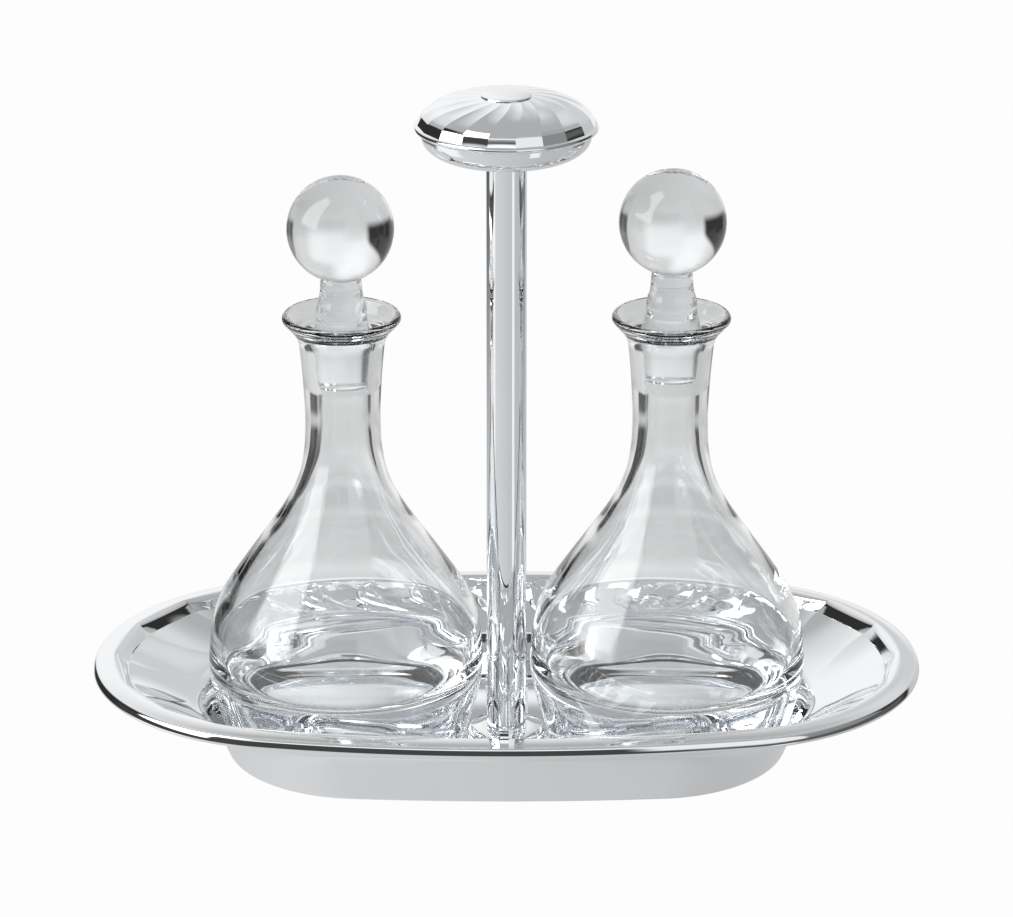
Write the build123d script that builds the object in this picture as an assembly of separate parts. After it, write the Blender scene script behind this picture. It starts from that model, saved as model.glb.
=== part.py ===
from build123d import *
import os
from math import atan2, cos, degrees, pi, sin

# Cruet set: an oval fluted tray with a central handle, and two glass bottles with ball stoppers.
# Millimetres. Origin: middle of the foot, on the surface the tray stands on. +Z up, +X along the tray.

# ---- Driving dimensions -------------------------------------------------------------------------

# Tray, as half lengths of each oval outline
TRAY_LENGTH = 288.0
TRAY_WIDTH = 160.0
RIM_END_RADIUS_LESS = 6.5      # an oval's end radius is its half width less this
RIM_CREST_Z = 34.2
RIM_EDGE_TOP_Z = 33.3
RIM_EDGE_UNDER_Z = 32.4
SHEET = 1.2                    # silver-plated sheet
FLOOR_TOP_Z = 2.0
FOOT_LENGTH = 194.4
FOOT_WIDTH = 98.6
FOOT_RING_WIDTH = 4.0
FOOT_RECESS = 0.8              # the floor's underside stands this far above the foot ring
FLUTES = 30
FLUTE_CROWDING = 0.18          # flutes are this much wider at the tray's ends, and narrower at its sides
STEP_TOP_INSET = 8.0           # rim band width, from the tray's edge
STEP_FOOT_INSET = 10.6
STEP_FOOT_Z = 30.2
WELL_EDGE_Z = 19.6
TRAY_SWIRL = 0.55              # how far a ridge runs clockwise on its way in, in flutes
BEAD_RADIUS = 1.6

# Central boss of the floor, which hides the handle's nut
BOSS_FOOT_RADIUS = 13.9
BOSS_TOP_RADIUS = 13.3
BOSS_HEIGHT = 4.6

# Handle
POST_RADIUS = 6.85
POST_WALL = 1.0
KNOB_RADIUS = 30.9
KNOB_UNDER_Z = 211.2
KNOB_SEAM_Z = 224.3
KNOB_FLUTES = 20
KNOB_SWIRL = 1.2               # how far a flute runs round the knob, in flutes
KNOB_TURN = 1 / 3              # the knob's first corner is this far round from +X, in flutes
KNOB_WALL = 1.0
BUTTON_RADIUS = 8.5
ROD_RADIUS = 2.45              # M5 tie rod, threads left plain
THREAD_GAP = 0.05

# Bottles and stoppers
BOTTLE_SPACING = 112.0
BOTTLE_RADIUS = 47.8
HEEL_RADIUS = 40.6
LIP_RADIUS = 20.2
LIP_TOP_Z = 159.3
BORE_RADIUS = 8.6
CAVITY_FLOOR_Z = 26.5
SOCKET_TOP_Z = 154.0
SOCKET_FOOT_Z = 134.0
SOCKET_TOP_RADIUS = 10.3
SOCKET_TAPER = 0.0765          # loss of radius for each millimetre down
PLUG_GAP = 0.2
BALL_RADIUS = 18.2
BALL_Z = 191.7
PLUG_FOOT_Z = 137.0
LEFT_STOPPER_DROP = 2.4        # the left plug is ground slimmer, so it sits lower

# ---- Shape helpers ------------------------------------------------------------------------------


def oval_arcs(half_length, half_width, end_radius):
    """Side radius and half the end arc's angle, in radians, of a four-arc oval."""
    reach = half_length - end_radius
    side_radius = (reach ** 2 + half_width ** 2 - end_radius ** 2) / (2 * (half_width - end_radius))
    return side_radius, atan2(side_radius - half_width, reach)


def oval_wire(half_length, half_width, end_less, z):
    """Four tangent arcs, starting at the lower end of the right-hand arc."""
    end_radius = half_width - end_less
    side_radius, half_turn = oval_arcs(half_length, half_width, end_radius)
    reach = half_length - end_radius
    turn = degrees(half_turn)
    drop = half_width - side_radius
    return Wire([
        CenterArc((reach, 0, z), end_radius, -turn, 2 * turn),
        CenterArc((0, drop, z), side_radius, turn, 180 - 2 * turn),
        CenterArc((-reach, 0, z), end_radius, 180 - turn, 2 * turn),
        CenterArc((0, -drop, z), side_radius, 180 + turn, 180 - 2 * turn),
    ])


def oval_point(half_length, half_width, end_less, z, share):
    """Point a given share of the way round the oval from +X, counter-clockwise, by length."""
    end_radius = half_width - end_less
    side_radius, half_turn = oval_arcs(half_length, half_width, end_radius)
    reach = half_length - end_radius
    end_run = end_radius * half_turn
    side_run = side_radius * (pi / 2 - half_turn)
    quarter = end_run + side_run
    run = (share % 1.0) * 4 * quarter
    side = 1 if run <= 2 * quarter else -1
    run = run if side > 0 else 4 * quarter - run
    front = 1 if run <= quarter else -1
    run = run if front > 0 else 2 * quarter - run
    if run <= end_run:
        angle = run / end_radius
        x, y = reach + end_radius * cos(angle), end_radius * sin(angle)
    else:
        angle = half_turn + (run - end_run) / side_radius
        x, y = side_radius * cos(angle), half_width - side_radius + side_radius * sin(angle)
    return Vector(front * x, side * y, z)


def flute_share(flute):
    """Share of the way round the tray at which a flute starts."""
    even = flute / FLUTES
    return even + FLUTE_CROWDING * sin(4 * pi * even) / (4 * pi)


def facet_wire(half_length, half_width, end_less, z, swirl):
    """Polygon with one corner for each flute, turned by a number of flutes."""
    corners = [
        oval_point(half_length, half_width, end_less, z, flute_share(flute + swirl))
        for flute in range(FLUTES)
    ]
    return Wire.make_polygon(corners, close=True)


def round_facet_wire(radius, z, swirl):
    """Regular polygon with one corner for each flute of the knob, turned clockwise by flutes."""
    turns = [(flute + KNOB_TURN - swirl) * 2 * pi / KNOB_FLUTES for flute in range(KNOB_FLUTES)]
    corners = [Vector(radius * cos(turn), radius * sin(turn), z) for turn in turns]
    return Wire.make_polygon(corners, close=True)


def stack(wires):
    return Solid.make_loft(wires, ruled=True)


def turned(*edges):
    """Solid of revolution about Z, from edges that close a loop in the XZ plane."""
    return revolve(Face(Wire(edges)), Axis.Z)


def turned_outline(*points):
    """Solid of revolution about Z from straight lines between (radius, height) points."""
    return turned(*Polyline([(r, 0, z) for r, z in points], close=True).edges())


def disc(radius, low, high):
    return Pos(0, 0, low) * Cylinder(radius, high - low, align=(Align.CENTER, Align.CENTER, Align.MIN))


# ---- Tray ---------------------------------------------------------------------------------------


def tray_shape():
    """Pressed dish: plain outside, and inside a rim band, a faceted step, swirled flutes and a well."""
    half_length, half_width = TRAY_LENGTH / 2, TRAY_WIDTH / 2
    foot_length, foot_width = FOOT_LENGTH / 2, FOOT_WIDTH / 2
    step_length, step_width = half_length - STEP_TOP_INSET, half_width - STEP_TOP_INSET
    edge_inset = 0.4
    step_foot_length, step_foot_width = half_length - STEP_FOOT_INSET, half_width - STEP_FOOT_INSET
    outside = [
        (foot_length, foot_width, 2.0, 0.0),
        (foot_length + 0.8, foot_width + 0.8, 2.0, 0.8),
        (foot_length + 2.1, foot_width + 1.6, 2.0, 4.0),
        (foot_length + 4.3, foot_width + 2.7, 2.0, 9.0),
        (foot_length + 7.3, foot_width + 3.9, 2.0, 14.0),
        (foot_length + 12.1, foot_width + 5.7, 2.2, 18.4),
        (step_foot_length + SHEET, step_foot_width + SHEET, 5.6, STEP_FOOT_Z - SHEET),
        (step_length + SHEET, step_width + SHEET, 6.0, RIM_EDGE_UNDER_Z + 0.2),
        (half_length - edge_inset, half_width - edge_inset, RIM_END_RADIUS_LESS, RIM_EDGE_UNDER_Z),
        (half_length - edge_inset, half_width - edge_inset, RIM_END_RADIUS_LESS, RIM_EDGE_TOP_Z),
        (step_length, step_width, 6.0, RIM_CREST_Z),
    ]
    lower = stack([oval_wire(*section) for section in outside[:8]])
    band = stack([oval_wire(*section) for section in outside[8:]])
    under_band = stack([
        oval_wire(step_length + SHEET, step_width + SHEET, 6.0, RIM_EDGE_UNDER_Z - 0.4),
        oval_wire(step_length + SHEET, step_width + SHEET, 6.0, RIM_CREST_Z - 0.2),
    ])
    body = lower + band + under_band

    flutes = stack([
        facet_wire(107.6, 53.6, 2.2, WELL_EDGE_Z, -TRAY_SWIRL),
        facet_wire(119.0, 59.2, 4.0, 23.4, -TRAY_SWIRL * 0.3),
        facet_wire(step_foot_length, step_foot_width, 5.6, STEP_FOOT_Z, 0.0),
        facet_wire(step_length, step_width, 6.0, RIM_CREST_Z + 0.01, 0.0),
    ])
    well = stack([
        oval_wire(foot_length - 1.4, foot_width - 1.3, 2.0, FLOOR_TOP_Z),
        oval_wire(foot_length - 0.2, foot_width - 0.1, 2.0, 3.2),
        oval_wire(foot_length + 1.1, foot_width + 0.6, 2.0, 6.0),
        oval_wire(foot_length + 3.4, foot_width + 1.7, 2.0, 11.0),
        oval_wire(foot_length + 6.4, foot_width + 2.9, 2.0, 16.0),
        oval_wire(foot_length + 10.4, foot_width + 4.3, 2.2, WELL_EDGE_Z),
    ])
    recess = extrude(
        Face(oval_wire(foot_length - FOOT_RING_WIDTH, foot_width - FOOT_RING_WIDTH, 2.0, 0.0)),
        amount=FOOT_RECESS,
        dir=(0, 0, 1),
    )
    boss = turned_outline(
        (0, FLOOR_TOP_Z - SHEET),
        (BOSS_FOOT_RADIUS, FLOOR_TOP_Z - SHEET),
        (BOSS_FOOT_RADIUS, FLOOR_TOP_Z),
        (BOSS_TOP_RADIUS + 0.4, FLOOR_TOP_Z + BOSS_HEIGHT - 0.8),
        (BOSS_TOP_RADIUS - 0.6, FLOOR_TOP_Z + BOSS_HEIGHT),
        (0, FLOOR_TOP_Z + BOSS_HEIGHT),
    )
    boss_hollow = disc(BOSS_TOP_RADIUS - SHEET, 0.0, FLOOR_TOP_Z + BOSS_HEIGHT - SHEET)
    rod_hole = disc(ROD_RADIUS + 0.2, 0.0, FLOOR_TOP_Z + BOSS_HEIGHT)
    return body - flutes - well - recess + boss - boss_hollow - rod_hole


def rim_bead_shape():
    """Border wire soldered under the tray's edge."""
    inset = BEAD_RADIUS
    centre_z = RIM_EDGE_UNDER_Z - BEAD_RADIUS
    path = oval_wire(TRAY_LENGTH / 2 - inset, TRAY_WIDTH / 2 - inset, RIM_END_RADIUS_LESS, centre_z)
    section = Plane(origin=path @ 0, z_dir=path % 0) * Circle(BEAD_RADIUS)
    return sweep(section, path=path)


# ---- Handle -------------------------------------------------------------------------------------

BOSS_TOP_Z = FLOOR_TOP_Z + BOSS_HEIGHT
BOSS_UNDER_Z = BOSS_TOP_Z - SHEET
WASHER_THICKNESS = 1.0
LOCK_WASHER_THICKNESS = 0.6
NUT_HEIGHT = 2.7
NUT_ACROSS_FLATS = 8.0
ROD_FOOT_Z = 0.9
ROD_TOP_Z = 219.0
PLUG_LENGTH = 8.0


def ring(outer_radius, inner_radius, low, high):
    return disc(outer_radius, low, high) - disc(inner_radius, low, high)


def handle_post_shape():
    return ring(POST_RADIUS, POST_RADIUS - POST_WALL, BOSS_TOP_Z, KNOB_UNDER_Z)


def centring_plug_shape(low):
    """Ring in the end of the post that keeps the tie rod in the middle."""
    return ring(POST_RADIUS - POST_WALL, ROD_RADIUS + 0.1, low, low + PLUG_LENGTH)


def tie_rod_shape():
    chamfer_size = 0.4
    return turned_outline(
        (0, ROD_FOOT_Z),
        (ROD_RADIUS - chamfer_size, ROD_FOOT_Z),
        (ROD_RADIUS, ROD_FOOT_Z + chamfer_size),
        (ROD_RADIUS, ROD_TOP_Z - chamfer_size),
        (ROD_RADIUS - chamfer_size, ROD_TOP_Z),
        (0, ROD_TOP_Z),
    )


def washer_shape(radius, low, high):
    return ring(radius, ROD_RADIUS + 0.15, low, high)


def nut_shape(low):
    hexagon = RegularPolygon(NUT_ACROSS_FLATS / 2, 6, major_radius=False)
    blank = extrude(Pos(0, 0, low) * hexagon, amount=NUT_HEIGHT)
    return blank - disc(ROD_RADIUS + THREAD_GAP, low, low + NUT_HEIGHT)


def knob_base_shell_shape():
    """Shallow bowl under the knob, open at the top, with a flat collar on the post."""
    outer = [(7.6, KNOB_UNDER_Z), (8.8, 212.3), (12.0, 213.2), (18.0, 214.2), (24.0, 216.0), (27.4, 218.7)]
    inner = [(26.3, 219.2), (23.4, 217.0), (17.6, 215.2), (11.6, 214.2), (8.4, 213.3)]
    inner_floor_z = KNOB_UNDER_Z + KNOB_WALL
    points = (
        [(ROD_RADIUS + 0.2, KNOB_UNDER_Z)]
        + outer
        + [(28.8, 222.0), (28.8, KNOB_SEAM_Z), (27.8, KNOB_SEAM_Z), (27.8, 222.2)]
        + inner
        + [(7.0, inner_floor_z), (ROD_RADIUS + 0.2, inner_floor_z)]
    )
    return turned_outline(*points)


def knob_insert_shape():
    """Threaded socket soldered inside the bowl, which takes the top of the tie rod."""
    low = KNOB_UNDER_Z + KNOB_WALL
    flange_top = low + 1.0
    socket_top = low + 9.0
    boss_radius = 5.0
    blank = disc(6.9, low, flange_top) + disc(boss_radius, flange_top, socket_top)
    return blank - disc(ROD_RADIUS + THREAD_GAP, low, ROD_TOP_Z + 0.6)


DOME_LEVELS = [(30.0, 226.0), (28.5, 229.4), (25.0, 231.9), (20.0, 233.9), (14.0, 235.3), (8.8, 235.9)]


def knob_top_shell_shape():
    """Fluted dome with a short faceted wall above a thin round flange."""
    wall_top = DOME_LEVELS[1]
    outline = [round_facet_wire(*DOME_LEVELS[0], 0.0), round_facet_wire(*wall_top, 0.0)]
    slope = wall_top[0] - DOME_LEVELS[-1][0]
    for radius, z in DOME_LEVELS[2:]:
        outline.append(round_facet_wire(radius, z, -KNOB_SWIRL * (wall_top[0] - radius) / slope))
    dome = stack(outline)
    flange = turned_outline(
        (0, KNOB_SEAM_Z),
        (KNOB_RADIUS - 0.4, KNOB_SEAM_Z),
        (KNOB_RADIUS, KNOB_SEAM_Z + 0.4),
        (KNOB_RADIUS, KNOB_SEAM_Z + 1.0),
        (KNOB_RADIUS - 0.6, 226.0),
        (0, 226.0),
    )
    hollow = turned_outline(
        (0, KNOB_SEAM_Z),
        (28.2, KNOB_SEAM_Z),
        (28.2, 226.4),
        (26.7, 228.6),
        (23.4, 231.0),
        (18.6, 232.7),
        (13.0, 234.1),
        (0, 234.8),
    )
    rivet_hole = disc(2.1, 234.0, 237.0)
    return dome + flange - hollow - rivet_hole


def knob_button_shape():
    """Low round button on the middle of the dome, held by a short rivet."""
    seat_z = DOME_LEVELS[-1][1]
    return turned_outline(
        (0, seat_z - 2.2),
        (2.0, seat_z - 2.2),
        (2.0, seat_z),
        (BUTTON_RADIUS, seat_z),
        (BUTTON_RADIUS, seat_z + 0.4),
        (BUTTON_RADIUS - 0.8, seat_z + 0.6),
        (0, seat_z + 0.8),
    )


# ---- Bottles ------------------------------------------------------------------------------------


def socket_radius(z):
    return SOCKET_TOP_RADIUS - SOCKET_TAPER * (SOCKET_TOP_Z - z)


def bottle_shape(x):
    """Blown glass bottle with a heavy base, a ground conical socket and a flared lip."""
    heel = 2.0
    heel_inset = heel * (1 - cos(pi / 4))
    outer_body = Spline(
        (HEEL_RADIUS, 0, FLOOR_TOP_Z + heel),
        (45.3, 0, 17.0),
        (BOTTLE_RADIUS, 0, 31.5),
        (46.3, 0, 47.5),
        (41.4, 0, 59.5),
        (35.0, 0, 69.0),
        (27.3, 0, 80.0),
        (20.0, 0, 91.0),
        (15.4, 0, 101.0),
        (13.4, 0, 111.0),
        (12.9, 0, 122.0),
        (13.8, 0, 140.0),
        (14.8, 0, 149.7),
    )
    lip_under = Spline((14.8, 0, 149.7), (16.8, 0, 153.3), (LIP_RADIUS, 0, 157.4))
    lip_edge = ThreePointArc((LIP_RADIUS, 0, 157.4), (LIP_RADIUS - 0.1, 0, 158.6), (19.2, 0, LIP_TOP_Z))
    funnel = Spline(
        (19.2, 0, LIP_TOP_Z),
        (15.0, 0, 157.4),
        (11.9, 0, 156.0),
        (SOCKET_TOP_RADIUS, 0, SOCKET_TOP_Z),
    )
    socket_foot = socket_radius(SOCKET_FOOT_Z)
    cavity_top = Polyline(
        (SOCKET_TOP_RADIUS, 0, SOCKET_TOP_Z),
        (socket_foot, 0, SOCKET_FOOT_Z),
        (BORE_RADIUS, 0, SOCKET_FOOT_Z - 1.0),
        (BORE_RADIUS, 0, 118.0),
    )
    cavity = Spline(
        (BORE_RADIUS, 0, 118.0),
        (9.9, 0, 108.0),
        (13.4, 0, 97.5),
        (21.6, 0, 83.0),
        (32.3, 0, 67.5),
        (42.2, 0, 47.0),
        (43.6, 0, 38.0),
        (40.0, 0, 30.4),
        (30.0, 0, 27.7),
        (0, 0, CAVITY_FLOOR_Z),
        tangents=((0, 0, -1), (-1, 0, 0)),
    )
    base = Polyline((0, 0, CAVITY_FLOOR_Z), (0, 0, FLOOR_TOP_Z), (HEEL_RADIUS - heel, 0, FLOOR_TOP_Z))
    heel_arc = ThreePointArc(
        (HEEL_RADIUS - heel, 0, FLOOR_TOP_Z),
        (HEEL_RADIUS - heel_inset, 0, FLOOR_TOP_Z + heel_inset),
        (HEEL_RADIUS, 0, FLOOR_TOP_Z + heel),
    )
    edges = [outer_body, lip_under, lip_edge, funnel]
    edges += cavity_top.edges() + [cavity] + base.edges() + [heel_arc]
    return Pos(x, 0, 0) * turned(*edges)


def stopper_shape(x, drop):
    """Solid glass stopper: ball, waisted neck and conical plug ground to the bottle's socket."""
    slim = PLUG_GAP + SOCKET_TAPER * drop
    plug_foot = socket_radius(PLUG_FOOT_Z) - slim
    plug_top = socket_radius(SOCKET_TOP_Z) - slim
    shoulder_z = 164.0
    shoulder_radius = 8.7
    neck_radius = 7.4
    ball_foot_z = 174.6
    ball_foot_radius = (BALL_RADIUS ** 2 - (BALL_Z - ball_foot_z) ** 2) ** 0.5
    plug = Polyline(
        (0, 0, PLUG_FOOT_Z),
        (plug_foot - 0.6, 0, PLUG_FOOT_Z),
        (plug_foot, 0, PLUG_FOOT_Z + 0.6),
        (plug_top, 0, SOCKET_TOP_Z),
        (plug_top - 0.4, 0, SOCKET_TOP_Z + 2.2),
        (shoulder_radius - 0.2, 0, shoulder_z - 3.0),
    )
    neck = Spline(
        (shoulder_radius - 0.2, 0, shoulder_z - 3.0),
        (shoulder_radius, 0, shoulder_z - 0.6),
        (neck_radius + 0.3, 0, shoulder_z + 3.0),
        (neck_radius - 0.1, 0, 169.5),
        (ball_foot_radius, 0, ball_foot_z),
    )
    ball_top = (0, 0, BALL_Z + BALL_RADIUS)
    ball = ThreePointArc((ball_foot_radius, 0, ball_foot_z), (BALL_RADIUS, 0, BALL_Z), ball_top)
    axis_line = Line(ball_top, (0, 0, PLUG_FOOT_Z))
    return Pos(x, 0, -drop) * turned(*plug.edges(), neck, ball, axis_line)


# ---- Nodes --------------------------------------------------------------------------------------

washer_top = BOSS_UNDER_Z
lock_washer_top = washer_top - WASHER_THICKNESS
nut_top = lock_washer_top - LOCK_WASHER_THICKNESS

nodes = {
    "tray_dish": tray_shape(),
    "rim_bead": rim_bead_shape(),
    "handle_post": handle_post_shape(),
    "post_base_plug": centring_plug_shape(BOSS_TOP_Z),
    "post_top_plug": centring_plug_shape(KNOB_UNDER_Z - PLUG_LENGTH),
    "tie_rod": tie_rod_shape(),
    "fixing_washer": washer_shape(7.5, lock_washer_top, washer_top),
    "lock_washer": washer_shape(4.6, nut_top, lock_washer_top),
    "fixing_nut": nut_shape(nut_top - NUT_HEIGHT),
    "knob_base_shell": knob_base_shell_shape(),
    "knob_insert": knob_insert_shape(),
    "knob_top_shell": knob_top_shell_shape(),
    "knob_button": knob_button_shape(),
    "left_bottle": bottle_shape(-BOTTLE_SPACING / 2),
    "left_stopper": stopper_shape(-BOTTLE_SPACING / 2, LEFT_STOPPER_DROP),
    "right_bottle": bottle_shape(BOTTLE_SPACING / 2),
    "right_stopper": stopper_shape(BOTTLE_SPACING / 2, 0.0),
}

os.makedirs("parts", exist_ok=True)
for name, shape in nodes.items():
    export_step(shape, f"parts/{name}.step")
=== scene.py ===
from math import pi, radians, tau

import bpy
import numpy as np
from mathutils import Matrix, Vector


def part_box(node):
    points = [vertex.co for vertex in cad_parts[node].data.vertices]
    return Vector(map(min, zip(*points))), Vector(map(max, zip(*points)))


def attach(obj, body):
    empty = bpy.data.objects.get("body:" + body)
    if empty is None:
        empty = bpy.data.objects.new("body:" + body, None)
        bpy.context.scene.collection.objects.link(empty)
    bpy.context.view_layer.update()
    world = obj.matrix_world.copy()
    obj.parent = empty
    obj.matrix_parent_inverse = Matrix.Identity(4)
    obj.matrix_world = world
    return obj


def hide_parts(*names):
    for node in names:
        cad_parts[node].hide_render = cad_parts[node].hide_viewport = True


# Cruet set: polished silver tray and handle, and two clear glass bottles with ball stoppers.
# The builders below work in millimetres; build_mesh turns them into metres.

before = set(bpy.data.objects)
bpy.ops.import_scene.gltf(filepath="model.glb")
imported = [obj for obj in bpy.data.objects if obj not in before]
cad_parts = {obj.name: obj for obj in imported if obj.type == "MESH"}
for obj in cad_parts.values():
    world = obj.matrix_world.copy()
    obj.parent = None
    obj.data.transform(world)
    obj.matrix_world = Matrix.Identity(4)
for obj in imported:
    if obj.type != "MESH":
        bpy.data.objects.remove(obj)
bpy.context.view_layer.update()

MM = 0.001

# ---- Sizes, from the frame ----------------------------------------------------------------------


def node_box(node):
    """A CAD node's lowest and highest corners at rest, in millimetres."""
    low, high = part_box(node)
    return low / MM, high / MM


bead_high = node_box("rim_bead")[1]
tray_high = node_box("tray_dish")[1]
post_low, post_high = node_box("handle_post")
knob_low, knob_high = node_box("knob_top_shell")
bowl_low, bowl_high = node_box("knob_base_shell")

HALF_LENGTH = bead_high.x
HALF_WIDTH = bead_high.y
CREST_Z = tray_high.z
RIM_LESS = 6.5                 # an oval's end radius is its half width less this
FLUTES = 30
FLUTE_CROWDING = 0.18          # flutes are this much wider at the tray's ends, and narrower at its sides
FLUTE_COLUMNS = 16             # mesh columns in each flute
KNOB_FLUTES = 20
BOSS_TOP_Z = post_low.z
POST_RADIUS = post_high.x

# ---- Mesh helpers -------------------------------------------------------------------------------


def smooth_rows(rows, per_span):
    """Catmull-Rom curve through rows of numbers, with per_span steps between neighbours."""
    rows = np.array(rows, float)
    padded = np.vstack([2 * rows[0] - rows[1], rows, 2 * rows[-1] - rows[-2]])
    out = []
    for i in range(1, len(padded) - 2):
        p0, p1, p2, p3 = padded[i - 1:i + 3]
        for step in range(per_span):
            t = step / per_span
            out.append(0.5 * (
                2 * p1 + (p2 - p0) * t
                + (2 * p0 - 5 * p1 + 4 * p2 - p3) * t ** 2
                + (3 * p1 - p0 - 3 * p2 + p3) * t ** 3
            ))
    out.append(rows[-1])
    return np.array(out)


def build_mesh(name, points, faces, sharp_degrees=32):
    """Mesh object from points in millimetres, shaded smooth apart from real corners."""
    mesh = bpy.data.meshes.new(name)
    mesh.from_pydata((np.asarray(points) * MM).tolist(), [], faces)
    mesh.validate()
    mesh.update()
    mesh.shade_smooth()
    mesh.set_sharp_from_angle(angle=radians(sharp_degrees))
    piece = bpy.data.objects.new(name, mesh)
    bpy.context.scene.collection.objects.link(piece)
    return piece


def ring_faces(rows, columns, closed):
    """Quads between rings of points; closed joins the last ring to the first."""
    faces = []
    for row in range(rows if closed else rows - 1):
        here, there = row * columns, (row + 1) % rows * columns
        for column in range(columns):
            beside = (column + 1) % columns
            faces.append((here + column, here + beside, there + beside, there + column))
    return faces


def lathe(outline, segments=144):
    """Solid of revolution about Z from (radius, height) points; ends with radius 0 close to a point."""
    outline = np.asarray(outline, float)
    turns = np.arange(segments) * tau / segments
    circle = np.column_stack([np.cos(turns), np.sin(turns)])
    on_axis = [radius < 1e-6 for radius, _ in outline]
    rings = outline[1:-1] if on_axis[0] else outline
    points = [np.column_stack([circle * radius, np.full(segments, z)]) for radius, z in rings]
    faces = ring_faces(len(rings), segments, closed=not on_axis[0])
    points = np.vstack(points)
    if on_axis[0]:
        first, last = len(points), len(points) + 1
        points = np.vstack([points, [[0, 0, outline[0][1]], [0, 0, outline[-1][1]]]])
        end = (len(rings) - 1) * segments
        for column in range(segments):
            beside = (column + 1) % segments
            faces.append((first, beside, column))
            faces.append((last, end + column, end + beside))
    return points, faces


def oval(half_length, half_width, less, share):
    """Points of a four-arc oval at shares of the way round, by length, and their outward normals."""
    end_radius = half_width - less
    reach = half_length - end_radius
    side_radius = (reach ** 2 + half_width ** 2 - end_radius ** 2) / (2 * less)
    half_turn = np.arctan2(side_radius - half_width, reach)
    end_run = end_radius * half_turn
    quarter = end_run + side_radius * (pi / 2 - half_turn)
    run = np.mod(share, 1.0) * 4 * quarter
    side = np.where(run <= 2 * quarter, 1.0, -1.0)
    run = np.where(side > 0, run, 4 * quarter - run)
    front = np.where(run <= quarter, 1.0, -1.0)
    run = np.where(front > 0, run, 2 * quarter - run)
    on_end = run <= end_run
    angle = np.where(on_end, run / end_radius, half_turn + (run - end_run) / side_radius)
    x = np.where(on_end, reach + end_radius * np.cos(angle), side_radius * np.cos(angle))
    y = np.where(on_end, end_radius * np.sin(angle),
                 half_width - side_radius + side_radius * np.sin(angle))
    normal = np.column_stack([front * np.cos(angle), side * np.sin(angle)])
    return np.column_stack([front * x, side * y]), normal


def flute_steps():
    """Places of the columns within one flute, from 0 to 1, closer together beside the ridges."""
    even = np.arange(FLUTE_COLUMNS) / FLUTE_COLUMNS
    return even - 0.7 * np.sin(tau * even) / tau


def fluted_ring(row, flutes, crowding):
    """One ring: (half length, half width, less, z, facet, ridge_in, ridge_up, shift)."""
    half_length, half_width, less, z, facet, ridge_in, ridge_up, shift = row
    index = np.repeat(np.arange(flutes), FLUTE_COLUMNS)
    place = np.tile(flute_steps(), flutes)

    def on_oval(flute):
        even = flute / flutes
        return oval(half_length, half_width, less, even + crowding * np.sin(4 * pi * even) / (4 * pi))

    curve, normal = on_oval(index + place + shift)
    here, _ = on_oval(index + shift)
    there, _ = on_oval(index + 1 + shift)
    flat = here + (there - here) * place[:, None]
    ridge = (2 * np.abs(place - 0.5)) ** 2
    plan = curve * (1 - facet) + flat * facet - normal * (ridge_in * ridge)[:, None]
    return np.column_stack([plan, z + ridge_up * ridge])


def fluted_shell(rows, flutes, crowding=0.0):
    """Closed shell from rings that go out along the top and back along the underside."""
    points = np.vstack([fluted_ring(row, flutes, crowding) for row in rows])
    return points, ring_faces(len(rows), flutes * FLUTE_COLUMNS, closed=True)


# ---- Tray ---------------------------------------------------------------------------------------

SWIRL = 0.55                   # how far a ridge runs clockwise on its way in, in flutes
RIDGE_IN = 1.4                 # how far a ridge stands in from the flutes beside it, at the step's foot
RIDGE_UP = 0.6


def rim_row(inset, z, facet=0.0, ridge_in=0.0, less=RIM_LESS):
    return (HALF_LENGTH - inset, HALF_WIDTH - inset, less, z, facet, ridge_in, 0.0, 0.0)


def slope_row(share, inset_long, inset_wide, less, z):
    """Row of the fluted slope; share is 0 at the step's foot and 1 at the well."""
    fade = (1 - share) ** 1.2
    return (HALF_LENGTH - inset_long, HALF_WIDTH - inset_wide, less, z, 0.9 * fade, RIDGE_IN * fade,
            RIDGE_UP * fade, -SWIRL * share ** 1.6)


def plain_row(half_length, half_width, z, less=2.0):
    return (half_length, half_width, less, z, 0.0, 0.0, 0.0, -SWIRL)


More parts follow.
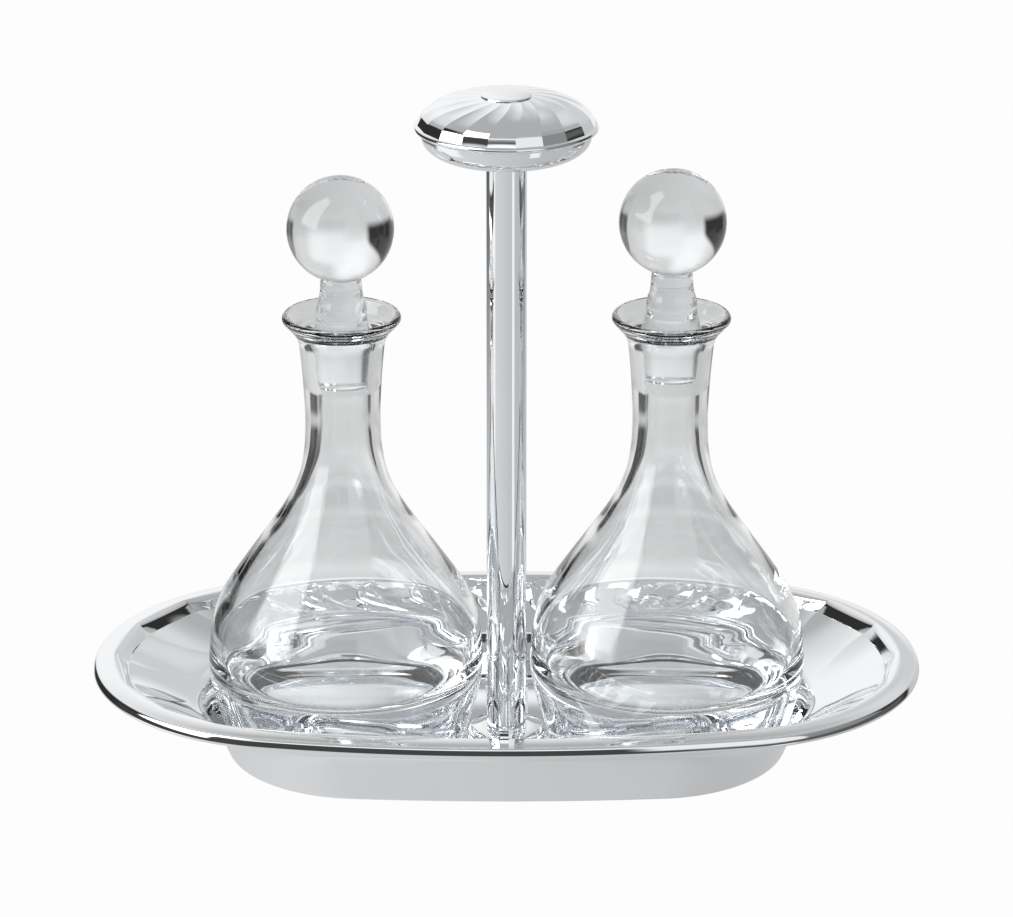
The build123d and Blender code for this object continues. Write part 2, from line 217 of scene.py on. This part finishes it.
def tray_piece():
    crest = CREST_Z
    band = smooth_rows([
        rim_row(2.4, crest - 1.7),
        rim_row(1.9, crest - 1.3),
        rim_row(1.7, crest - 1.0),
        rim_row(2.1, crest - 0.86),
        rim_row(3.2, crest - 0.52),
        rim_row(4.5, crest - 0.22),
        rim_row(5.8, crest - 0.05),
        rim_row(6.7, crest, 0.1),
        rim_row(7.4, crest - 0.12, 0.4),
        rim_row(8.1, crest - 0.5, 0.8),
        rim_row(8.7, crest - 1.1, 1.0),
    ], 3)
    wall = smooth_rows([
        rim_row(8.85, crest - 1.3, 1.0),
        rim_row(9.85, crest - 2.83, 1.0, 0.7),
        rim_row(10.6, crest - 4.0, 1.0, 1.4),
    ], 3)
    slope = smooth_rows([
        slope_row(0.0, 10.8, 10.8, 5.6, crest - 4.15),
        slope_row(0.04, 11.8, 11.5, 5.5, crest - 4.5),
        slope_row(0.25, 17.2, 14.9, 4.9, 27.2),
        slope_row(0.55, 24.8, 19.6, 3.8, 23.7),
        slope_row(0.82, 31.2, 23.6, 2.9, 21.2),
        slope_row(1.0, 35.2, 25.8, 2.4, 20.0),
    ], 5)
    well = smooth_rows([
        plain_row(107.4, 53.5, 19.3),
        plain_row(105.8, 52.9, 17.9),
        plain_row(103.6, 52.2, 15.6),
        plain_row(100.8, 51.1, 11.2),
        plain_row(98.4, 50.0, 6.0),
        plain_row(97.3, 49.4, 3.9),
        plain_row(96.3, 48.5, 2.6),
        plain_row(94.6, 47.0, 2.08),
        plain_row(92.5, 45.0, 2.0),
    ], 3)
    inwards = (0.1, 0.35, 0.6, 0.85, 0.98)
    floor = smooth_rows([plain_row(92.5 - 78.0 * t, 45.0 - 30.5 * t, 2.0) for t in inwards], 1)
    boss = smooth_rows([
        plain_row(14.1, 14.1, 2.2),
        plain_row(13.75, 13.75, 3.2),
        plain_row(13.5, 13.5, 5.2),
        plain_row(13.1, 13.1, 6.15),
        plain_row(12.3, 12.3, BOSS_TOP_Z),
    ], 2)
    hollow = [
        plain_row(8.0, 8.0, BOSS_TOP_Z),
        plain_row(2.7, 2.7, BOSS_TOP_Z),
        plain_row(2.7, 2.7, 5.4),
        plain_row(11.6, 11.6, 5.4),
        plain_row(12.1, 12.1, 5.0),
        plain_row(12.1, 12.1, 1.1),
        plain_row(12.5, 12.5, 0.8),
        plain_row(60.0, 30.0, 0.8),
        plain_row(92.8, 44.9, 0.8),
        plain_row(93.2, 45.3, 0.0),
        plain_row(95.0, 47.1, 0.0),
    ]
    outside = smooth_rows([
        plain_row(96.9, 49.0, 0.0),
        plain_row(97.6, 49.7, 0.3),
        plain_row(98.1, 50.15, 1.1),
        plain_row(99.3, 50.9, 4.0),
        plain_row(101.5, 52.0, 9.0),
        plain_row(104.5, 53.2, 14.0),
        plain_row(109.3, 55.0, 18.3),
        plain_row(112.8, 56.9, 19.6, 2.6),
        plain_row(119.6, 60.6, 22.3, 3.8),
        plain_row(127.0, 65.2, 25.6, 4.9),
        plain_row(133.6, 69.9, 28.6, 5.6),
        plain_row(136.6, 72.6, 31.2, 6.0),
        plain_row(138.6, 74.6, 31.9, RIM_LESS),
        plain_row(141.2, 77.2, 31.8, RIM_LESS),
    ], 3)
    # the underside has no flutes, so its columns swing back to line up with the rim's
    outside[:, 7] *= np.linspace(1, 0, len(outside))
    rows = np.vstack([band, wall, slope, well, floor, boss, hollow, outside])
    return build_mesh("tray_dish_formed", *fluted_shell(rows[::-1], FLUTES, FLUTE_CROWDING))


def bead_piece():
    """Border wire: a D section, its flat outer face leaning in, carried round the tray's edge."""
    middle = CREST_Z - 2.75
    section = [
        (0.0, -0.75), (0.1, -0.2), (0.26, 0.35), (0.46, 0.88), (0.72, 1.32), (1.05, 1.62), (1.5, 1.78),
        (2.0, 1.68), (2.6, 1.25), (3.05, 0.5), (3.2, -0.4), (3.0, -1.1), (2.5, -1.55), (1.8, -1.8),
        (1.1, -1.82), (0.45, -1.6), (0.1, -1.25), (0.0, -0.75),
    ]
    rows = smooth_rows([rim_row(inset, middle + up) for inset, up in section], 2)[:-1]
    return build_mesh("rim_bead_formed", *fluted_shell(rows, FLUTES, FLUTE_CROWDING))


# ---- Handle -------------------------------------------------------------------------------------


def knob_row(radius, z, facet=0.0, ridge_in=0.0, ridge_up=0.0, shift=0.0):
    return (radius, radius, 1.0, z, facet, ridge_in, ridge_up, shift)


KNOB_SWIRL = 1.25
KNOB_TURN = 1 / 3              # the knob's first corner is this far round from +X, in flutes


def dome_row(radius, z):
    """Row of the knob's swirled dome: ridges run anticlockwise on their way in, highest half way."""
    share = (28.4 - radius) / (28.4 - 9.0)
    ridge_up = 0.22 * np.sin(pi * share ** 0.75) + 0.03
    return knob_row(radius, z, 0.9 * (1 - share) ** 6, 0.0, ridge_up, KNOB_SWIRL * share ** 1.2)


def knob_top_piece():
    seam = knob_low.z
    top = knob_high.z
    dome = [dome_row(r, top - drop) for r, drop in (
        (28.4, 6.5), (27.0, 5.3), (24.6, 3.85), (21.0, 2.4), (16.6, 1.15), (12.4, 0.4), (9.0, 0.0))]
    seat = [knob_row(8.4, top, shift=KNOB_SWIRL), knob_row(2.1, top, shift=KNOB_SWIRL)]
    inside = [knob_row(r, z, shift=KNOB_SWIRL) for r, z in (
        (2.1, top - 1.1), (13.0, top - 1.8), (18.6, top - 3.1), (23.4, top - 4.9),
        (26.6, top - 7.4), (28.2, seam + 2.1), (28.2, seam))]
    flange = smooth_rows([knob_row(r, z, shift=KNOB_SWIRL) for r, z in (
        (30.2, seam), (30.7, seam + 0.3), (30.9, seam + 0.8), (30.85, seam + 1.3), (30.5, seam + 1.75),
        (30.15, seam + 1.95))], 2)
    flange[:, 7] *= np.linspace(1, 0, len(flange))
    wall = [
        knob_row(30.0, seam + 2.05, 0.9),
        knob_row(29.8, seam + 2.3, 1.0),
        knob_row(28.75, seam + 4.6, 1.0),
        knob_row(28.55, seam + 4.95, 1.0),
    ]
    rows = np.vstack([
        smooth_rows(seat[::-1], 1),
        smooth_rows(dome[::-1], 6),
        smooth_rows(wall[::-1], 2),
        flange[::-1],
        smooth_rows(inside[::-1], 1),
    ])
    rows[:, 7] += KNOB_TURN
    return build_mesh("knob_top_formed", *fluted_shell(rows[::-1], KNOB_FLUTES))


def knob_button_piece():
    seat = knob_high.z
    outline = [(0, seat - 2.2), (2.0, seat - 2.2), (2.0, seat), (8.3, seat), (8.6, seat + 0.12)]
    crown = smooth_rows([
        (8.7, seat + 0.3), (8.5, seat + 0.5), (7.6, seat + 0.68), (4.6, seat + 0.9), (0, seat + 0.98),
    ], 5)
    return build_mesh("knob_button_turned", *lathe(np.vstack([outline, crown]), 160))


def knob_bowl_piece():
    low, seam = bowl_low.z, bowl_high.z
    bottom = smooth_rows([
        (6.95, low), (7.2, low + 0.6), (8.0, low + 1.7), (11.6, low + 2.7), (17.6, low + 3.6),
        (23.6, low + 5.2), (27.2, low + 7.6), (28.6, low + 10.4), (28.8, seam - 0.25),
    ], 6)
    top = [(28.6, seam), (27.9, seam)]
    inside = smooth_rows([(27.8, seam - 2.1), (26.2, low + 8.3), (23.0, low + 6.3), (17.4, low + 4.7),
                          (11.6, low + 3.8), (7.0, low + 1.6), (2.65, low + 1.0)], 3)
    collar = [(2.65, low)]
    return build_mesh("knob_bowl_turned", *lathe(np.vstack([bottom, top, inside, collar]), 160))


def post_piece():
    low, high = BOSS_TOP_Z, post_high.z
    heights = np.linspace(low + 0.2, high - 0.1, 24)
    outer = [(POST_RADIUS - 0.15, low)] + [(POST_RADIUS, z) for z in heights] + [(POST_RADIUS - 0.1, high)]
    inner = [(POST_RADIUS - 1.0, high), (POST_RADIUS - 1.0, low)]
    return build_mesh("handle_post_drawn", *lathe(outer + inner, 192))


# ---- Glass --------------------------------------------------------------------------------------

FLOOR = 2.0
LIP_TOP = 159.3
PLUG_FOOT = 137.0
PLUG_TOP = 154.0
PLUG_CHAMFER = 0.6
GROUND_GAP = 0.2
SOCKET_TAPER = 0.0765
BALL_RADIUS = 18.2
BALL_Z = 191.7
BALL_JOINT_Z = 174.6
LEFT_STOPPER_DROP = 2.4        # the left stopper sits this much deeper than the right


def bottle_piece(name, x):
    outer = smooth_rows([
        (37.0, FLOOR), (38.9, FLOOR + 0.35), (40.3, FLOOR + 1.4), (41.4, 5.6), (43.4, 11.5),
        (45.6, 19.0),
        (47.1, 25.5), (47.8, 31.5), (47.4, 39.5), (46.3, 47.5), (44.3, 54.0), (41.4, 59.5), (35.0, 69.0),
        (27.3, 80.0), (20.0, 91.0), (15.4, 101.0), (13.4, 111.0), (12.9, 122.0), (13.2, 131.0),
        (13.8, 140.0),
        (14.4, 146.5), (14.8, 149.7), (16.2, 152.6), (18.6, 155.4), (20.0, 157.0),
        (20.25, 158.0), (19.8, 158.9), (18.9, LIP_TOP), (17.8, 158.7), (16.2, 157.2), (14.4, 155.9),
        (12.3, 154.8), (10.3, 153.9),
    ], 6)
    socket = [(8.85, 134.4), (8.65, 133.4)]
    cavity = smooth_rows([
        (8.6, 133.0), (8.6, 126.0), (8.7, 118.0), (9.9, 108.0), (13.4, 97.5), (17.4, 90.0), (22.2, 82.0),
        (27.2, 75.0), (33.0, 66.4), (38.8, 56.5), (42.8, 47.0), (43.9, 40.0), (43.8, 35.0), (42.6, 31.4),
        (40.0, 29.3), (35.0, 28.2), (26.0, 27.5), (14.0, 27.0), (0, 26.8),
    ], 6)
    base = [(0, FLOOR + 0.5), (20.0, FLOOR + 0.45), (33.0, FLOOR + 0.25), (35.2, FLOOR)]
    outline = np.vstack([base, outer, socket, cavity])
    points, faces = lathe(outline, 192)
    points[:, 0] += x
    return build_mesh(name, points, faces)


def stopper_piece(name, x, drop):
    slim = GROUND_GAP + SOCKET_TAPER * drop
    plug = [
        (0, PLUG_FOOT), (8.3 - slim, PLUG_FOOT), (8.85 - slim, PLUG_FOOT + 0.25),
        (9.0 - slim, PLUG_FOOT + PLUG_CHAMFER), (10.3 - slim, PLUG_TOP),
    ]
    neck = smooth_rows([
        (9.8, 155.6), (9.3, 157.4), (8.8, 159.6), (8.65, 161.6), (8.7, 163.2), (8.3, 165.2),
        (7.55, 167.6), (7.25, 169.8), (7.1, 171.8), (7.0, 173.4),
    ], 5)
    start = np.arccos((BALL_JOINT_Z - BALL_Z) / BALL_RADIUS)
    turns = np.linspace(start, 0, 60)
    ball = np.column_stack([BALL_RADIUS * np.sin(turns), BALL_Z + BALL_RADIUS * np.cos(turns)])
    ball[-1, 0] = 0
    outline = np.vstack([plug, neck, ball])
    outline[:, 1] -= drop
    points, faces = lathe(outline, 144)
    points[:, 0] += x
    return build_mesh(name, points, faces)


# ---- Materials ----------------------------------------------------------------------------------


class Nodes:
    """Short names for making and linking shader nodes."""

    def __init__(self, tree):
        self.tree = tree
        self.tree.nodes.clear()

    def add(self, kind, inputs=None, **settings):
        node = self.tree.nodes.new(kind)
        for key, value in settings.items():
            setattr(node, key, value)
        for key, value in (inputs or {}).items():
            self.put(node.inputs[key], value)
        return node

    def put(self, socket, value):
        if isinstance(value, bpy.types.NodeSocket):
            self.tree.links.new(value, socket)
        else:
            socket.default_value = value

    def math(self, operation, a, b=0.0, c=0.0):
        node = self.add("ShaderNodeMath", operation=operation)
        for socket, value in zip(node.inputs, (a, b, c)):
            self.put(socket, value)
        return node.outputs[0]

    def ramp(self, value, low, high, low_out, high_out):
        node = self.add("ShaderNodeMapRange", interpolation_type="SMOOTHSTEP")
        for key, number in zip(("Value", "From Min", "From Max", "To Min", "To Max"),
                               (value, low, high, low_out, high_out)):
            self.put(node.inputs[key], number)
        return node.outputs[0]


def new_material(name):
    material = bpy.data.materials.new(name)
    material.use_nodes = True
    return material, Nodes(material.node_tree)


def polished_silver(name, tone, haze):
    """Mirror polish with a faint tarnish tone, hairline rubbing marks and slow sheet waviness."""
    material, n = new_material(name)
    place = n.add("ShaderNodeTexCoord").outputs["Object"]
    cloud = n.add("ShaderNodeTexNoise", {"Vector": place, "Scale": 22.0, "Detail": 4.0}).outputs["Fac"]
    rub = n.add("ShaderNodeTexNoise", {"Vector": place, "Scale": 900.0, "Detail": 2.0}).outputs["Fac"]
    wave = n.add("ShaderNodeTexNoise", {"Vector": place, "Scale": 34.0, "Detail": 1.0}).outputs["Fac"]
    colour = n.add("ShaderNodeMix", {"Factor": n.ramp(cloud, 0.35, 0.75, 0.0, 1.0)}, data_type="RGBA")
    n.put(colour.inputs["A"], (*tone, 1))
    n.put(colour.inputs["B"], (tone[0] * 0.97, tone[1] * 0.97, tone[2] * 0.965, 1))
    rough = n.math("ADD", n.ramp(cloud, 0.3, 0.8, haze, haze * 1.8), n.math("MULTIPLY", rub, haze * 0.4))
    bump = n.add("ShaderNodeBump", {"Height": wave, "Strength": 0.02, "Distance": 0.001})
    shader = n.add("ShaderNodeBsdfPrincipled", {
        "Metallic": 1.0, "Base Color": colour.outputs["Result"], "Roughness": rough,
        "Normal": bump.outputs[0]})
    n.add("ShaderNodeOutputMaterial", {"Surface": shader.outputs[0]})
    return material


def clear_glass(name, tint, ground=None):
    """Clear glass, slightly uneven as a blown wall is; ground is a plug's foot and top, in mm."""
    material, n = new_material(name)
    place = n.add("ShaderNodeTexCoord").outputs["Object"]
    wave = n.add("ShaderNodeTexNoise", {"Vector": place, "Scale": 26.0, "Detail": 1.0}).outputs["Fac"]
    bump = n.add("ShaderNodeBump", {"Height": wave, "Strength": 0.03, "Distance": 0.001})
    shader = n.add("ShaderNodeBsdfPrincipled", {
        "Base Color": (*tint, 1), "Roughness": 0.0, "IOR": 1.5, "Transmission Weight": 1.0,
        "Normal": bump.outputs[0]})
    if ground:
        # the plug's cone is satin from grinding, but its foot is polished
        height = n.add("ShaderNodeSeparateXYZ", {0: place}).outputs["Z"]
        foot, top = (z * MM for z in ground)
        above = n.ramp(height, foot, foot + 1.0 * MM, 0.0, 1.0)
        below = n.ramp(height, top - 0.5 * MM, top + 0.5 * MM, 1.0, 0.0)
        speckle = n.add("ShaderNodeTexNoise", {"Vector": place, "Scale": 700.0, "Detail": 2.0})
        grain = speckle.outputs["Fac"]
        satin = n.math("MULTIPLY_ADD", grain, 0.1, 0.16)
        n.put(shader.inputs["Roughness"], n.math("MULTIPLY", satin, n.math("MULTIPLY", above, below)))
    n.add("ShaderNodeOutputMaterial", {"Surface": shader.outputs[0]})
    return material


def machined_metal(name, tone, base_rough):
    """Turned brass or steel: fine rings from the tool and a little dulling."""
    material, n = new_material(name)
    place = n.add("ShaderNodeTexCoord").outputs["Object"]
    cloud = n.add("ShaderNodeTexNoise", {"Vector": place, "Scale": 120.0, "Detail": 3.0}).outputs["Fac"]
    rings = n.add("ShaderNodeTexWave", {"Vector": place, "Scale": 500.0, "Distortion": 0.6},
                  wave_type="BANDS", bands_direction="Z").outputs["Fac"]
    colour = n.add("ShaderNodeMix", {"Factor": cloud}, data_type="RGBA")
    n.put(colour.inputs["A"], (*tone, 1))
    n.put(colour.inputs["B"], (tone[0] * 0.8, tone[1] * 0.78, tone[2] * 0.74, 1))
    rough = n.math("MULTIPLY_ADD", cloud, 0.2, base_rough)
    bump = n.add("ShaderNodeBump", {"Height": rings, "Strength": 0.15, "Distance": 0.0002})
    shader = n.add("ShaderNodeBsdfPrincipled", {
        "Metallic": 1.0, "Base Color": colour.outputs["Result"], "Roughness": rough,
        "Normal": bump.outputs[0]})
    n.add("ShaderNodeOutputMaterial", {"Surface": shader.outputs[0]})
    return material


# ---- Assembly -----------------------------------------------------------------------------------


def finish_piece(piece, material, body, slot, *nodes):
    piece.data.materials.append(material)
    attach(piece, body)
    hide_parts(*nodes)


silver = polished_silver("silver_plate_polished", (0.915, 0.93, 0.95), 0.012)
bottle_glass = clear_glass("bottle_glass_clear", (0.988, 0.996, 1.0))
brass = machined_metal("brass_turned", (0.78, 0.6, 0.3), 0.2)
steel = machined_metal("steel_machined", (0.6, 0.6, 0.62), 0.22)

finish_piece(tray_piece(), silver, "stand", "silver_plate", "tray_dish")
finish_piece(bead_piece(), silver, "stand", "silver_plate", "rim_bead")
finish_piece(post_piece(), silver, "stand", "silver_plate", "handle_post")
finish_piece(knob_bowl_piece(), silver, "stand", "silver_plate", "knob_base_shell")
finish_piece(knob_top_piece(), silver, "stand", "silver_plate", "knob_top_shell")
finish_piece(knob_button_piece(), silver, "stand", "silver_plate", "knob_button")

left_low, left_high = node_box("left_bottle")
SPACING = -(left_low.x + left_high.x) / 2
for side, x, drop in (("left", -SPACING, LEFT_STOPPER_DROP), ("right", SPACING, 0.0)):
    bottle = bottle_piece(f"{side}_bottle_blown", x)
    finish_piece(bottle, bottle_glass, f"{side}_bottle", "bottle_glass", f"{side}_bottle")
    stopper = stopper_piece(f"{side}_stopper_ground", x, drop)
    cone = (PLUG_FOOT + PLUG_CHAMFER - drop, PLUG_TOP - drop)
    stopper_glass = clear_glass(f"{side}_stopper_glass", (0.98, 0.99, 1.0), cone)
    finish_piece(stopper, stopper_glass, f"{side}_stopper", "stopper_glass", f"{side}_stopper")

for node, material in (
    ("post_base_plug", brass), ("post_top_plug", brass), ("knob_insert", brass), ("tie_rod", steel),
    ("fixing_washer", steel), ("lock_washer", steel), ("fixing_nut", steel),
):
    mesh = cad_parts[node].data
    mesh.materials.clear()
    mesh.materials.append(material)

# ---- Studio -------------------------------------------------------------------------------------

BACKDROP = 0.982               # the pale floor and backdrop as the camera sees them

# Each patch of the studio: value; azimuth, half width and softness; foot, top and softness; lean.
# A later patch lies over an earlier one. Angles are in degrees.
STUDIO_PATCHES = (
    (0.46, 180, 200, 1, -2, 120, 3),          # ceiling
    (0.58, 180, 50, 6, -17, 50, 8),           # backdrop
    (0.78, -159, 24, 8, -12, 48, 12),         # its left half
    (0.98, -168, 17, 10, -9, 34, 11),         # its lit middle
    (0.74, 150, 16, 8, 24, 42, 6),            # its right half, upper
    (0.66, 158, 18, 9, -12, 26, 6),           # its right half, lower
    (0.90, 171, 15, 6, -15, 12, 6),           # lit foot, right
    (0.27, 80, 32, 5, 0, 50, 8),              # right-hand wall
    (0.03, 116, 14, 3, -18, 33, 4, -1.5),     # gap beside the backdrop, right
    (0.03, -126, 30, 3, -19, 26, 4, 1.05),    # gap beside the backdrop, left
    (1.1, -16, 30, 4, 34, 50, 4),             # lamps above the camera
    (0.06, -16, 36, 4, -11, 34, 3),           # room behind the camera
    (0.10, 70, 52, 5, -12, 7, 4),             # dark edge of the table, right
    (0.05, -80, 34, 4, -12, 8, 3),            # dark edge of the table, left
    (4.0, -73, 22, 3, 9, 70, 4),              # large soft box, left
    (0.9, 32, 19, 2, 8, 60, 4),               # card beside the camera, right
    (0.95, 39, 7, 2, -30, -12, 3),            # its reflection on the table
    (1.0, -88, 20, 6, -40, -14, 3),           # the large box's reflection
)


def studio_floor():
    bpy.ops.mesh.primitive_plane_add(size=8.0, location=(0, 0, -0.0003))
    floor = bpy.context.object
    floor.name = "studio_floor"
    material, n = new_material("studio_floor")
    glow = n.add("ShaderNodeEmission", {"Color": (1, 1, 1, 1), "Strength": BACKDROP})
    n.add("ShaderNodeOutputMaterial", {"Surface": glow.outputs[0]})
    floor.data.materials.append(material)
    floor.visible_glossy = False
    floor.visible_transmission = False
    floor.visible_diffuse = False
    floor.visible_shadow = False


def studio_world():
    """Soft studio: pale sweep behind, dark room to the sides and front, tall soft boxes and a table."""
    world = bpy.data.worlds.new("studio")
    bpy.context.scene.world = world
    world.use_nodes = True
    n = Nodes(world.node_tree)
    sky = n.add("ShaderNodeTexCoord").outputs["Generated"]
    direction = n.add("ShaderNodeSeparateXYZ", {0: sky}).outputs
    degrees = 180 / pi
    # azimuth is 0 towards the front (-Y) and positive to the right; height is the angle above level
    forward = n.math("MULTIPLY", direction["Y"], -1.0)
    azimuth = n.math("MULTIPLY", n.math("ARCTAN2", direction["X"], forward), degrees)
    height = n.math("MULTIPLY", n.math("ARCSINE", direction["Z"]), degrees)

    def patch(az, half_az, soft_az, low, high, soft_el, lean=0.0):
        """1 inside a patch of the sky and 0 outside, with soft sides; lean tilts its upper edge."""
        turn = n.math("WRAP", n.math("SUBTRACT", azimuth, az), -180.0, 180.0)
        across = n.ramp(n.math("ABSOLUTE", turn), half_az - soft_az, half_az + soft_az, 1.0, 0.0)
        above = n.ramp(height, low - soft_el, low + soft_el, 0.0, 1.0)
        tilted = n.math("MULTIPLY_ADD", turn, -lean, height)
        below = n.ramp(tilted, high - soft_el, high + soft_el, 1.0, 0.0)
        return n.math("MULTIPLY", across, n.math("MULTIPLY", above, below))

    def part(base, value, *where):
        """base everywhere but in one patch of the sky, which is value."""
        return n.math("MULTIPLY_ADD", patch(*where), n.math("SUBTRACT", value, base), base)

    # the table is lighter on its left, beside the large soft box
    light = n.math("MULTIPLY_ADD", n.math("SINE", n.math("DIVIDE", azimuth, degrees)), -0.09, 0.61)
    for value, *where in STUDIO_PATCHES:
        light = part(light, value, *where)
    ray = n.add("ShaderNodeLightPath").outputs["Is Camera Ray"]
    seen = n.math("MULTIPLY_ADD", ray, n.math("SUBTRACT", BACKDROP, light), light)
    background = n.add("ShaderNodeBackground", {"Color": (1, 1, 1, 1), "Strength": seen})
    n.add("ShaderNodeOutputWorld", {"Surface": background.outputs[0]})


LENS = 155.78                  # focal length, on a sensor 36 mm wide
CAMERA_PLACE = (0, -1.410, 0.635)
CAMERA_DOWN = 20.54            # degrees below level


def add_camera():
    """A view from in front and above, through a long lens."""
    data = bpy.data.cameras.new("camera")
    data.sensor_width = 36.0
    data.lens = LENS
    camera = bpy.data.objects.new("camera", data)
    camera.location = CAMERA_PLACE
    camera.rotation_euler = (radians(90 - CAMERA_DOWN), 0, 0)
    bpy.context.scene.collection.objects.link(camera)
    bpy.context.scene.camera = camera


studio_floor()
studio_world()
add_camera()
scene = bpy.context.scene
scene.view_settings.view_transform = "Standard"
scene.cycles.max_bounces = 24
scene.cycles.transmission_bounces = 24
scene.cycles.glossy_bounces = 12
